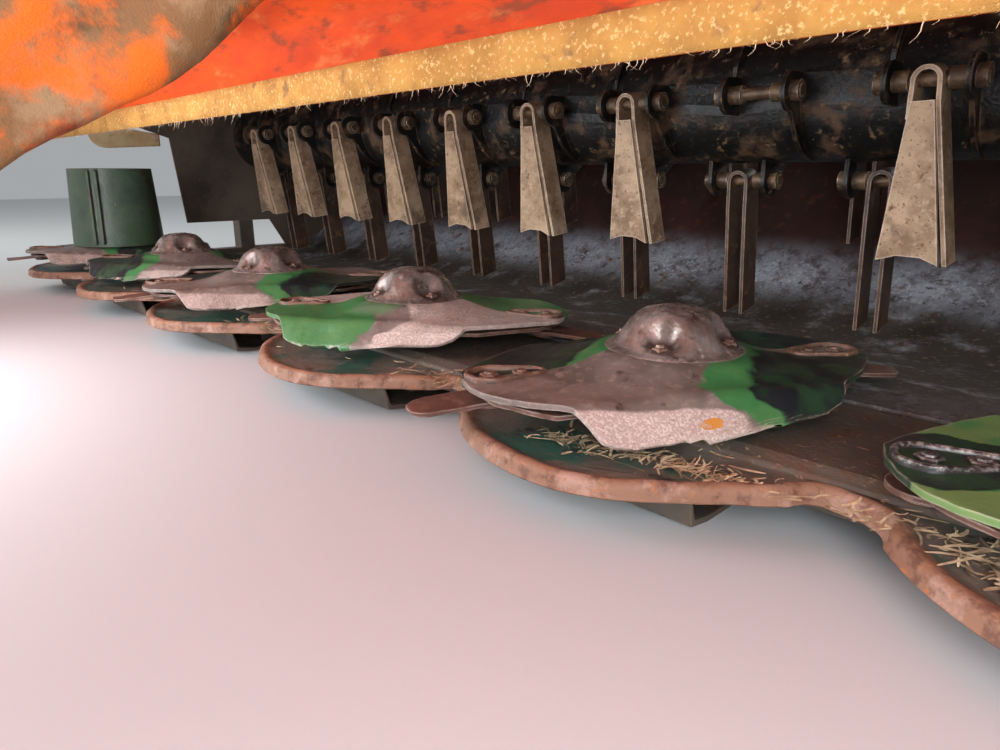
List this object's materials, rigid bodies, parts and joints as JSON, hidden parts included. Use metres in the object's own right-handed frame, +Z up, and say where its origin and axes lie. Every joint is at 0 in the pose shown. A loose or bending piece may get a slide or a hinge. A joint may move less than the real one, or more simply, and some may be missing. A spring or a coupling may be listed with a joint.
{
  "type": "disc mower cutting and conditioning head",
  "caption": "Low cutter bar of oval knife discs with a swinging tine rotor behind it, hood, side plates, canvas front guard, swath boards and parking legs.",
  "frame": {"origin": "middle of the head's length and depth, at ground level", "axes": "+X along the row of discs to the machine's left, +Y towards the rear outlet, +Z up; it cuts towards -Y"},
  "size_m": [2.94, 2.0966, 1.0169],
  "materials": {
    "disc_green": "green enamel, worn through to brown steel",
    "worn_steel": "bare worn steel with rust bloom",
    "rusty_steel": "rust over worn steel",
    "plain_steel": "dull steel",
    "brown_paint": "dark brown, dirty",
    "red_paint": "faded red enamel",
    "black_paint": "black, dusty and oily",
    "orange_canvas": "coated cloth, stained"
  },
  "bodies": {
    "head": {"cutter_bar": "rusty_steel", "stone_guards": "rusty_steel", "skid_soles": "rusty_steel", "rotor_bearings": "black_paint", "side_plate_right": "brown_paint", "side_plate_left": "brown_paint", "hood": "red_paint", "cross_beam": "black_paint", "rear_pan": "rusty_steel", "gearbox": "black_paint", "drive_case": "black_paint"},
    "cutting_disc_1": {"disc_1": "disc_green", "knives_1": "worn_steel", "drum_1": "disc_green"},
    "cutting_disc_2": {"disc_2": "disc_green", "knives_2": "worn_steel", "cap_2": "worn_steel"},
    "cutting_disc_3": {"disc_3": "disc_green", "knives_3": "worn_steel", "cap_3": "worn_steel"},
    "cutting_disc_4": {"disc_4": "disc_green", "knives_4": "worn_steel", "cap_4": "worn_steel"},
    "cutting_disc_5": {"disc_5": "disc_green", "knives_5": "worn_steel", "cap_5": "worn_steel"},
    "cutting_disc_6": {"disc_6": "disc_green", "knives_6": "worn_steel", "cap_6": "worn_steel"},
    "cutting_disc_7": {"disc_7": "disc_green", "knives_7": "worn_steel", "drum_7": "disc_green", "drive_shaft": "plain_steel"},
    "rotor": {"rotor_tube": "black_paint", "blade_tines": "worn_steel", "plain_tines": "brown_paint", "tine_bolts": "plain_steel"},
    "front_guard": {"guard_frame": "black_paint", "front_canvas": "orange_canvas"},
    "swath_board_right": {"swath_board_right": "red_paint"},
    "swath_board_left": {"swath_board_left": "red_paint"},
    "parking_leg_right": {"parking_leg_right": "black_paint"},
    "parking_leg_left": {"parking_leg_left": "black_paint"}
  },
  "joints": [
    {"name": "disc_7_spin", "type": "hinge", "parent": "head", "child": "cutting_disc_7", "pos_m": [1.2, -0.188, 0.09], "axis": [0, 0, 1], "continuous": true},
    {"name": "disc_1_spin", "type": "hinge", "parent": "head", "child": "cutting_disc_1", "pos_m": [-1.2, -0.188, 0.09], "axis": [0, 0, 1], "continuous": true},
    {"name": "disc_2_spin", "type": "hinge", "parent": "head", "child": "cutting_disc_2", "pos_m": [-0.8, -0.188, 0.09], "axis": [0, 0, 1], "continuous": true},
    {"name": "disc_3_spin", "type": "hinge", "parent": "head", "child": "cutting_disc_3", "pos_m": [-0.4, -0.188, 0.09], "axis": [0, 0, 1], "continuous": true},
    {"name": "disc_4_spin", "type": "hinge", "parent": "head", "child": "cutting_disc_4", "pos_m": [0, -0.188, 0.09], "axis": [0, 0, 1], "continuous": true},
    {"name": "disc_5_spin", "type": "hinge", "parent": "head", "child": "cutting_disc_5", "pos_m": [0.4, -0.188, 0.09], "axis": [0, 0, 1], "continuous": true},
    {"name": "disc_6_spin", "type": "hinge", "parent": "head", "child": "cutting_disc_6", "pos_m": [0.8, -0.188, 0.09], "axis": [0, 0, 1], "continuous": true},
    {"name": "rotor_spin", "type": "hinge", "parent": "head", "child": "rotor", "pos_m": [0, 0.277, 0.37], "axis": [1, 0, 0], "continuous": true},
    {"name": "front_guard_lift", "type": "hinge", "parent": "head", "child": "front_guard", "pos_m": [0, -0.283, 0.69], "axis": [-1, 0, 0], "range_deg": [0, 75]},
    {"name": "swath_board_right_swing", "type": "hinge", "parent": "head", "child": "swath_board_right", "pos_m": [-1.325, 0.732, 0.4], "axis": [0, 0, -1], "range_deg": [0, 30]},
    {"name": "swath_board_left_swing", "type": "hinge", "parent": "head", "child": "swath_board_left", "pos_m": [1.325, 0.732, 0.4], "axis": [0, 0, 1], "range_deg": [0, 30]},
    {"name": "parking_leg_right_slide", "type": "slide", "parent": "head", "child": "parking_leg_right", "axis": [0, 0, 1], "range_m": [0, 0.2]},
    {"name": "parking_leg_left_slide", "type": "slide", "parent": "head", "child": "parking_leg_left", "axis": [0, 0, 1], "range_m": [0, 0.2]}
  ],
  "couplings": [
    {"joint": "disc_1_spin", "follows": "disc_7_spin", "ratio": 1},
    {"joint": "disc_2_spin", "follows": "disc_7_spin", "ratio": -1},
    {"joint": "disc_3_spin", "follows": "disc_7_spin", "ratio": 1},
    {"joint": "disc_4_spin", "follows": "disc_7_spin", "ratio": -1},
    {"joint": "disc_5_spin", "follows": "disc_7_spin", "ratio": 1},
    {"joint": "disc_6_spin", "follows": "disc_7_spin", "ratio": -1}
  ]
}
